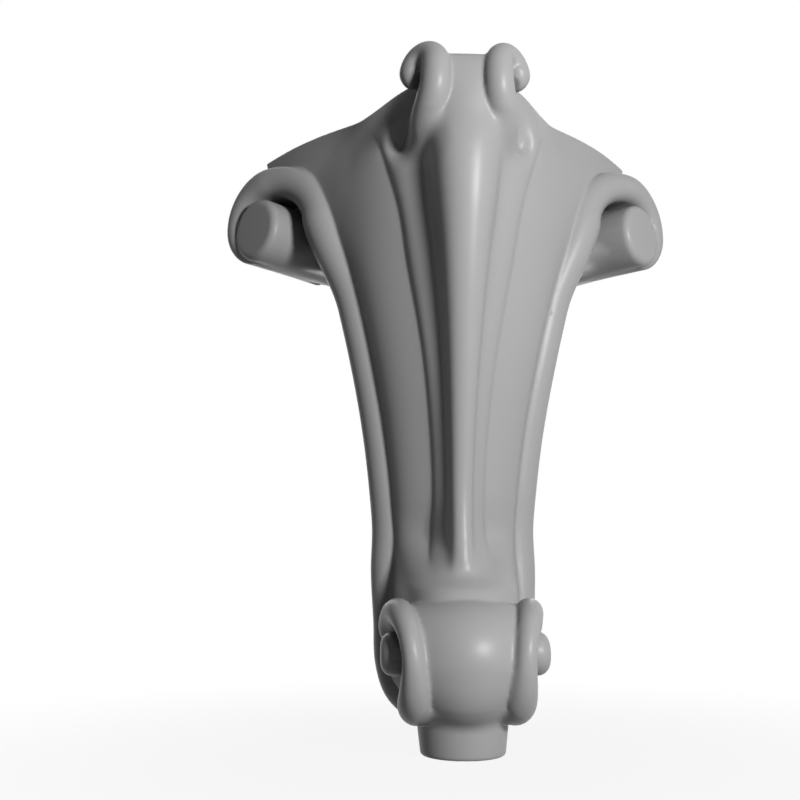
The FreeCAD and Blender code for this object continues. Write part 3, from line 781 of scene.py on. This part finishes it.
class LegSettings(bpy.types.PropertyGroup):
    """Sizes and colour of the carved leg."""

    top_height: panel_length("Top Height", 284, "Flat top face above the floor")
    wing_tip: panel_length("Wing Tip", 101, "Outer end of the wing, along the wing")
    wing_depth: panel_length("Wing Depth", 42, "Thickness of the wing")
    wing_plane: panel_length("Wing Plane", 31, "Wing face from the axis")
    wing_bulge: panel_length("Wing Bulge", 3, "Swell of the wing's face at its top")
    back_plane: panel_length("Back Plane", 50, "Flat back from the axis")
    edge_radius: panel_length("Edge Radius", 9, "Rounded edge of the leg")
    rib_rise: bpy.props.FloatProperty(
        name="Rib Rise", description="Height of the middle rib for its half width", default=1.0)
    groove_wall: panel_angle("Groove Wall", 77, "Steepest lean of the groove walls")
    flank_start: panel_angle("Flank Start", 30, "Lean of the flank at its groove")
    eye_along: panel_length("Eye Along", 90, "Volute eye, along the wing")
    eye_height: panel_length("Eye Height", 241, "Volute eye above the floor")
    eye_radius: panel_length("Eye Radius", 15.4, "Volute eye boss")
    eye_proud: panel_length("Eye Proud", 47, "End of the eye boss from the axis")
    eye_round: panel_length("Eye Round", 3.5, "Rounded edge of the eye boss")
    coil_inner: panel_length("Coil Inner", 13.4, "Coil radius under the eye")
    coil_outer: panel_length("Coil Outer", 31.5, "Coil radius where it leaves the leg")
    coil_band: panel_length("Coil Band", 5, "Bead radius outside the volute")
    pocket_floor: panel_length("Pocket Floor", 21, "Floor of the volute from the axis")
    hollow_depth: panel_length("Hollow Depth", 8, "Gouges beside the stems of the curls")
    hollow_height: panel_length("Hollow Height", 262, "Gouges above the floor")
    hollow_out: panel_length("Hollow Out", 26, "Gouges from the middle plane")
    pad_radius: panel_length("Pad Radius", 17.9, "Foot pad at the floor")
    pad_top: panel_length("Pad Top", 19.6, "Foot pad under the scroll")
    pad_height: panel_length("Pad Height", 16, "Height of the foot pad")
    roll_radius: panel_length("Roll Radius", 23.3, "Foot scroll")
    roll_crown: panel_length("Roll Crown", 2.2, "Swell of the scroll between its beads")
    roll_drop: panel_length("Roll Drop", 2.4, "Fullness of the scroll under its axis")
    roll_depth: panel_length("Roll Depth", -10, "Axis of the scroll, front to back")
    roll_height: panel_length("Roll Height", 39.7, "Axis of the scroll above the floor")
    roll_half: panel_length("Roll Half Width", 25.5, "Half width of the scroll at its axis")
    roll_splay: panel_angle("Roll Splay", 19, "Splay of the scroll sides")
    foot_eye_radius: panel_length("Foot Eye Radius", 9, "Eye boss of the scroll")
    foot_eye_out: panel_length("Foot Eye Out", 9.4, "Eye boss beyond the scroll side")
    foot_eye_round: panel_length("Foot Eye Round", 5.2, "Rounded edge of the eye boss")
    curl_radius: panel_length("Curl Radius", 6.35, "Bar of the top curls")
    curl_turn: panel_length("Curl Turn", 6.2, "Turning radius of the top curls")
    curl_proud: panel_length("Curl Proud", 43.9, "Plane of the top curls from the axis")
    curl_top: panel_length("Curl Top", 298.2, "Top of the curls above the floor")
    plate_half: panel_length("Plate Half Width", 10, "Plate between the curls")
    plate_top: panel_length("Plate Top", 291.3, "Top of the plate above the floor")
    voxel: panel_length("Fineness", 0.65, "Grid of the united skin")
    finish: bpy.props.FloatVectorProperty(
        name="Finish", description="Primed grey wood", subtype="COLOR", size=3, default=(0.27, 0.27, 0.27))


class Millimetres:
    """The settings read in millimetres and degrees; plain numbers as they are."""

    def __init__(self, settings):
        self.settings = settings

    def __getattr__(self, name):
        value = getattr(self.settings, name)
        unit = self.settings.bl_rna.properties[name].unit
        if unit == "LENGTH":
            return value / MM
        return math.degrees(value) if unit == "ROTATION" else value


def principled(name, colour, roughness, sheen):
    """Plain material with its nodes: colour, roughness and the level of its highlights."""
    material = bpy.data.materials.new(name)
    material.use_nodes = True
    shader = material.node_tree.nodes["Principled BSDF"]
    shader.inputs["Base Color"].default_value = (*colour, 1.0)
    shader.inputs["Roughness"].default_value = roughness
    shader.inputs["Specular IOR Level"].default_value = sheen
    return material


def seen_directly(nodes, links):
    """1 for rays from the camera, from a mirror or through glass, 0 for light on the object."""
    path = nodes.new("ShaderNodeLightPath")
    seen = nodes.new("ShaderNodeMath")
    seen.operation = "MAXIMUM"
    through = nodes.new("ShaderNodeMath")
    through.operation = "MAXIMUM"
    links.new(path.outputs["Is Camera Ray"], seen.inputs[0])
    links.new(path.outputs["Is Glossy Ray"], seen.inputs[1])
    links.new(seen.outputs[0], through.inputs[0])
    links.new(path.outputs["Is Transmission Ray"], through.inputs[1])
    return through.outputs[0]


def pale_floor():
    """Pale matt floor that is mostly paper white where it is seen directly, so that only its shadow shows.
    The white grows by a smooth step with the distance from the leg."""
    material = principled("pale_floor", (FLOOR_GREY, FLOOR_GREY, FLOOR_GREY), 1.0, 0.0)
    nodes, links = material.node_tree.nodes, material.node_tree.links
    paper = nodes.new("ShaderNodeEmission")
    paper.inputs["Strength"].default_value = 1.0
    place = nodes.new("ShaderNodeTexCoord")
    away = nodes.new("ShaderNodeVectorMath")
    away.operation = "LENGTH"
    share = nodes.new("ShaderNodeMapRange")
    share.interpolation_type = "SMOOTHSTEP"
    share.inputs["From Min"].default_value = PAPER_NEAR
    share.inputs["From Max"].default_value = PAPER_FAR
    share.inputs["To Min"].default_value = PAPER_SHARE
    both = nodes.new("ShaderNodeMath")
    both.operation = "MULTIPLY"
    mix = nodes.new("ShaderNodeMixShader")
    links.new(place.outputs["Object"], away.inputs[0])
    links.new(away.outputs["Value"], share.inputs["Value"])
    links.new(seen_directly(nodes, links), both.inputs[0])
    links.new(share.outputs["Result"], both.inputs[1])
    links.new(both.outputs[0], mix.inputs["Fac"])
    links.new(nodes["Principled BSDF"].outputs["BSDF"], mix.inputs[1])
    links.new(paper.outputs["Emission"], mix.inputs[2])
    links.new(mix.outputs["Shader"], nodes["Material Output"].inputs["Surface"])
    return material


def white_world():
    """Even pale light on the object; seen directly it is white."""
    world = bpy.data.worlds.new("studio")
    bpy.context.scene.world = world
    world.use_nodes = True
    nodes, links = world.node_tree.nodes, world.node_tree.links
    back = nodes["Background"]
    back.inputs["Color"].default_value = (1.0, 1.0, 1.0, 1.0)
    strength = nodes.new("ShaderNodeMapRange")
    strength.inputs["To Min"].default_value = WORLD_LIGHT
    strength.inputs["To Max"].default_value = 1.0
    links.new(seen_directly(nodes, links), strength.inputs["Value"])
    links.new(strength.outputs["Result"], back.inputs["Strength"])


def aim(obj, course):
    """Turns a lamp or camera so that it looks along a course."""
    obj.rotation_euler = course.to_track_quat("-Z", "Y").to_euler()
    bpy.context.scene.collection.objects.link(obj)
    return obj


def area_lamp(name, place, target, size, power):
    """Square soft lamp at a place, looking at its target."""
    lamp = bpy.data.lights.new(name, "AREA")
    lamp.size = size
    lamp.energy = power
    obj = bpy.data.objects.new(name, lamp)
    obj.location = place
    return aim(obj, Vector(target) - Vector(place))


def floor_plane():
    """Square floor at the foot of the leg."""
    mesh = bpy.data.meshes.new("floor")
    corners = [(x * FLOOR_REACH, y * FLOOR_REACH, 0.0) for x, y in ((-1, -1), (1, -1), (1, 1), (-1, 1))]
    mesh.from_pydata(corners, [], [(0, 1, 2, 3)])
    mesh.materials.append(pale_floor())
    floor = bpy.data.objects.new("floor", mesh)
    bpy.context.scene.collection.objects.link(floor)
    return floor


def photo_camera():
    """Camera at the photo's place; its course is given by its turn to the side and its rise."""
    camera = bpy.data.cameras.new("camera")
    camera.lens = LENS
    camera.sensor_width = SENSOR
    camera.clip_start = NEAREST
    view = bpy.data.objects.new("camera", camera)
    view.location = CAMERA_PLACE
    turn, rise = math.radians(CAMERA_TURN), math.radians(CAMERA_RISE)
    level = Vector((math.sin(turn), math.cos(turn), 0.0)) * math.cos(rise)
    return aim(view, level + Vector((0.0, 0.0, math.sin(rise))))


class LEG_OT_carve(bpy.types.Operator):
    """Builds the carved leg as one closed skin in place of its solid"""

    bl_idname = "leg.carve"
    bl_label = "Carved Leg"

    def execute(self, context):
        settings = context.scene.leg_settings
        p = Millimetres(settings)
        sides = (wing_shell, bolster_shell, underside_shell, edge_bead, volute_eye, foot_ring, foot_eye, curl)
        right = [shell(p) for shell in sides]
        middle = [shell(p) for shell in (post_shell, foot_roll, foot_pad, plate)]
        shells = middle + right + [flip(shell) for shell in right]
        leg = united("carved_leg_skin", shells, settings.voxel, BLENDS)
        leg.data.materials.clear()
        leg.data.materials.append(principled("primed_wood", settings.finish, WOOD_ROUGHNESS, WOOD_SHEEN))
        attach(leg, "root")
        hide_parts("carved_leg")
        return {"FINISHED"}


class LEG_OT_stage(bpy.types.Operator):
    """Adds the floor, the studio light and the camera"""

    bl_idname = "leg.stage"
    bl_label = "Studio"

    def execute(self, context):
        context.scene.view_settings.view_transform = "Standard"
        floor = floor_plane()
        lamps = [area_lamp(*row) for row in LAMPS]
        white_world()
        context.scene.camera = photo_camera()
        return {"FINISHED"}


class LEG_PT_panel(bpy.types.Panel):
    """Lists the steps and the sizes"""

    bl_idname = "LEG_PT_panel"
    bl_label = "Carved Leg"
    bl_space_type = "VIEW_3D"
    bl_region_type = "UI"
    bl_category = "Carved Leg"

    def draw(self, context):
        layout = self.layout
        for operator in (LEG_OT_carve, LEG_OT_stage):
            layout.operator(operator.bl_idname)
        for name in LegSettings.__annotations__:
            layout.prop(context.scene.leg_settings, name)


CLASSES = (LegSettings, LEG_OT_carve, LEG_OT_stage, LEG_PT_panel)


def register():
    for cls in CLASSES:
        bpy.utils.register_class(cls)
    bpy.types.Scene.leg_settings = bpy.props.PointerProperty(type=LegSettings)


def unregister():
    del bpy.types.Scene.leg_settings
    for cls in reversed(CLASSES):
        bpy.utils.unregister_class(cls)


def main():
    register()
    bpy.ops.leg.carve()
    bpy.ops.leg.stage()


if __name__ == "__main__":
    main()
